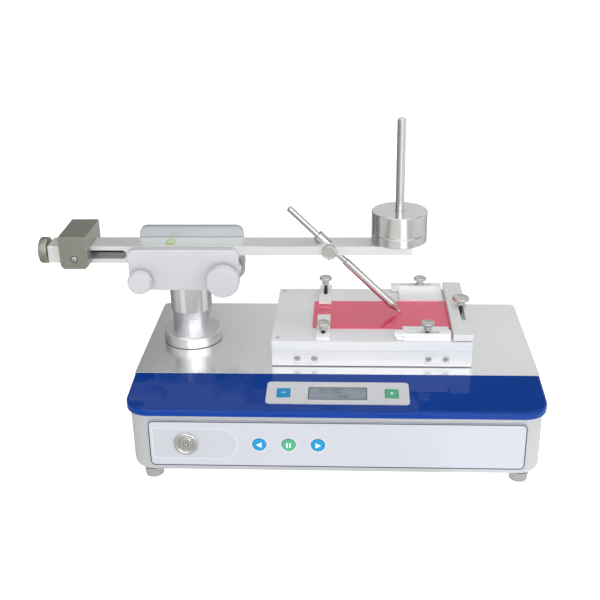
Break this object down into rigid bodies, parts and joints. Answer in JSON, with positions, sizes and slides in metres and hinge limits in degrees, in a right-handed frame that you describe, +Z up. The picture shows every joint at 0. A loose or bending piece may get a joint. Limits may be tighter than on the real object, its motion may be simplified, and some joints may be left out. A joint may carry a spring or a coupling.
{
  "type": "mar resistance tester",
  "caption": "Bench tester with a balanced beam that presses a slanting stylus under weights onto a panel on a motor-driven clamping table.",
  "frame": {"origin": "centre of the whole object's box, on the plane that the feet stand on", "axes": "+Z up, the control panel faces -Y, the beam lies along X with the weights at +X"},
  "size_m": [0.5296, 0.2452, 0.3365],
  "materials": {
    "grey_lid": "satin metallic grey paint",
    "blue_nose": "gloss blue paint",
    "silver_case": "pearl silver paint",
    "silver_fascia": "fine satin printed plate",
    "zinc_plate": "zinc plated",
    "pale_feet": "moulded",
    "display_frame": "satin film over plastic",
    "display_glass": "clear window over a grey display",
    "blue_key": "printed film",
    "green_key": "printed film",
    "pearl_aluminium": "bead blasted and anodised",
    "satin_aluminium": "milled and clear anodised",
    "polished_steel": "turned and polished",
    "brushed_steel": "brushed",
    "level_green": "clear vial with green spirit",
    "red_panel": "gloss test paint",
    "circuit_green": "solder mask",
    "black_inlet": "moulded"
  },
  "bodies": {
    "base": {"case_shell": "silver_case", "bottom_plate": "zinc_plate", "top_cover": "grey_lid", "nose_cover": "blue_nose", "feet": "pale_feet", "fascia_plate": "silver_fascia", "power_button_body": "polished_steel", "display_plate": "display_frame", "display_window": "display_glass", "column_socket": "satin_aluminium", "column_post": "polished_steel", "front_cheek": "pearl_aluminium", "rear_cheek": "pearl_aluminium", "pivot_axle": "polished_steel", "pivot_bearings": "polished_steel", "slide_rails": "polished_steel", "drive_motor": "zinc_plate", "control_board": "circuit_green", "power_inlet": "black_inlet"},
    "table": {"table_plate": "satin_aluminium", "table_apron": "satin_aluminium", "table_screws": "polished_steel", "test_panel": "red_panel", "slide_carriages": "zinc_plate", "slide_bridge": "zinc_plate"},
    "drive_screw": {"slide_screw": "polished_steel"},
    "beam": {"beam": "pearl_aluminium", "tail_end_block": "pearl_aluminium", "weight_rod": "polished_steel", "bubble_level": "level_green"},
    "lift": {"lift_shaft": "polished_steel", "front_lift_knob": "pearl_aluminium", "rear_lift_knob": "pearl_aluminium"},
    "lock": {"lock_knob": "pearl_aluminium"},
    "tail_turn": {"tail_screw": "polished_steel", "tail_knob": "brushed_steel"},
    "balance": {"counterweight": "brushed_steel", "counterweight_nut": "brushed_steel"},
    "stylus": {"stylus_rod": "polished_steel", "stylus_holder": "polished_steel", "stylus_tip": "polished_steel"},
    "stylus_clamp": {"stylus_thumbscrew": "polished_steel"},
    "lower_load": {"lower_weight": "polished_steel"},
    "main_load": {"main_weight": "polished_steel"},
    "power_push": {"power_button_cap": "polished_steel"},
    "reverse_push": {"reverse_key": "blue_key"},
    "pause_push": {"pause_key": "green_key"},
    "forward_push": {"forward_key": "blue_key"},
    "minus_push": {"minus_key": "blue_key"},
    "plus_push": {"plus_key": "green_key"},
    "front_strap_body": {"front_strap": "satin_aluminium"},
    "front_guide_body": {"front_guide": "satin_aluminium"},
    "rear_strap_body": {"rear_strap": "satin_aluminium"},
    "rear_guide_body": {"rear_guide": "satin_aluminium"},
    "end_bar_body": {"end_bar": "satin_aluminium"},
    "front_strap_screw": {"front_strap_thumbscrew": "polished_steel"},
    "rear_strap_screw": {"rear_strap_thumbscrew": "polished_steel"},
    "front_guide_screw": {"front_guide_thumbscrew": "polished_steel"},
    "rear_guide_screw": {"rear_guide_thumbscrew": "polished_steel"},
    "end_bar_screw": {"end_bar_thumbscrew": "polished_steel"}
  },
  "joints": [
    {"name": "table_travel", "type": "slide", "parent": "base", "child": "table", "axis": [1, 0, 0], "range_m": [-0.03, 0.045]},
    {"name": "drive_screw_turn", "type": "hinge", "parent": "base", "child": "drive_screw", "pos_m": [0.093, 0.03, 0.044], "axis": [1, 0, 0], "range_deg": [-2200, 3300]},
    {"name": "beam_tilt", "type": "hinge", "parent": "base", "child": "beam", "pos_m": [-0.10425, 0.0295, 0.1925], "axis": [0, -1, 0], "range_deg": [0, 4]},
    {"name": "lift_turn", "type": "hinge", "parent": "base", "child": "lift", "pos_m": [-0.06355, 0.0295, 0.171], "axis": [0, -1, 0], "range_deg": [0, 90]},
    {"name": "lock_turn", "type": "hinge", "parent": "base", "child": "lock", "pos_m": [-0.15235, 0.0063, 0.1695], "axis": [0, -1, 0], "range_deg": [0, 720]},
    {"name": "tail_screw_turn", "type": "hinge", "parent": "beam", "child": "tail_turn", "pos_m": [-0.25335, 0.0295, 0.194], "axis": [-1, 0, 0], "range_deg": [-1100, 6500]},
    {"name": "balance_slide", "type": "slide", "parent": "beam", "child": "balance", "axis": [1, 0, 0], "range_m": [-0.006, 0.036]},
    {"name": "stylus_slide", "type": "slide", "parent": "beam", "child": "stylus", "axis": [-0.7071, 0, 0.7071], "range_m": [0, 0.012]},
    {"name": "stylus_clamp_turn", "type": "hinge", "parent": "beam", "child": "stylus_clamp", "pos_m": [0.04885, 0.0153, 0.1985], "axis": [0, -1, 0], "range_deg": [0, 720]},
    {"name": "lower_weight_lift", "type": "slide", "parent": "beam", "child": "lower_load", "axis": [0, 0, 1], "range_m": [0, 0.135]},
    {"name": "main_weight_lift", "type": "slide", "parent": "lower_load", "child": "main_load", "axis": [0, 0, 1], "range_m": [0, 0.125]},
    {"name": "power_push_travel", "type": "slide", "parent": "base", "child": "power_push", "axis": [0, 1, 0], "range_m": [0, 0.0018], "stiffness_N_per_m": 600},
    {"name": "reverse_key_travel", "type": "slide", "parent": "base", "child": "reverse_push", "axis": [0, 1, 0], "range_m": [0, 0.0008], "stiffness_N_per_m": 900},
    {"name": "pause_key_travel", "type": "slide", "parent": "base", "child": "pause_push", "axis": [0, 1, 0], "range_m": [0, 0.0008], "stiffness_N_per_m": 900},
    {"name": "forward_key_travel", "type": "slide", "parent": "base", "child": "forward_push", "axis": [0, 1, 0], "range_m": [0, 0.0008], "stiffness_N_per_m": 900},
    {"name": "minus_key_travel", "type": "slide", "parent": "base", "child": "minus_push", "axis": [0, 0.0905, -0.9959], "range_m": [0, 0.0006], "stiffness_N_per_m": 900},
    {"name": "plus_key_travel", "type": "slide", "parent": "base", "child": "plus_push", "axis": [0, 0.0905, -0.9959], "range_m": [0, 0.0006], "stiffness_N_per_m": 900},
    {"name": "front_strap_slide", "type": "slide", "parent": "table", "child": "front_strap_body", "axis": [0, 1, 0], "range_m": [-0.007, 0]},
    {"name": "front_guide_slide", "type": "slide", "parent": "table", "child": "front_guide_body", "axis": [1, 0, 0], "range_m": [-0.01, 0.002]},
    {"name": "rear_strap_slide", "type": "slide", "parent": "table", "child": "rear_strap_body", "axis": [0, 1, 0], "range_m": [0, 0.007]},
    {"name": "rear_guide_slide", "type": "slide", "parent": "table", "child": "rear_guide_body", "axis": [1, 0, 0], "range_m": [-0.01, 0.002]},
    {"name": "end_bar_slide", "type": "slide", "parent": "table", "child": "end_bar_body", "axis": [0, 1, 0], "range_m": [-0.01, 0.03]},
    {"name": "front_strap_screw_turn", "type": "hinge", "parent": "table", "child": "front_strap_screw", "pos_m": [0.04275, -0.02175, 0.1192], "axis": [0, 0, 1], "range_deg": [0, 720]},
    {"name": "rear_strap_screw_turn", "type": "hinge", "parent": "table", "child": "rear_strap_screw", "pos_m": [0.04275, 0.08175, 0.1192], "axis": [0, 0, 1], "range_deg": [0, 720]},
    {"name": "front_guide_screw_turn", "type": "hinge", "parent": "table", "child": "front_guide_screw", "pos_m": [0.15075, -0.03325, 0.1192], "axis": [0, 0, 1], "range_deg": [0, 720]},
    {"name": "rear_guide_screw_turn", "type": "hinge", "parent": "table", "child": "rear_guide_screw", "pos_m": [0.15075, 0.09325, 0.1192], "axis": [0, 0, 1], "range_deg": [0, 720]},
    {"name": "end_bar_screw_turn", "type": "hinge", "parent": "table", "child": "end_bar_screw", "pos_m": [0.19125, 0.032, 0.1192], "axis": [0, 0, 1], "range_deg": [0, 720]}
  ],
  "couplings": [
    {"joint": "drive_screw_turn", "follows": "table_travel", "rad_per_m": 1256.6},
    {"joint": "lift_turn", "follows": "beam_tilt", "ratio": 22.5},
    {"joint": "tail_screw_turn", "follows": "balance_slide", "rad_per_m": 3141.6}
  ]
}
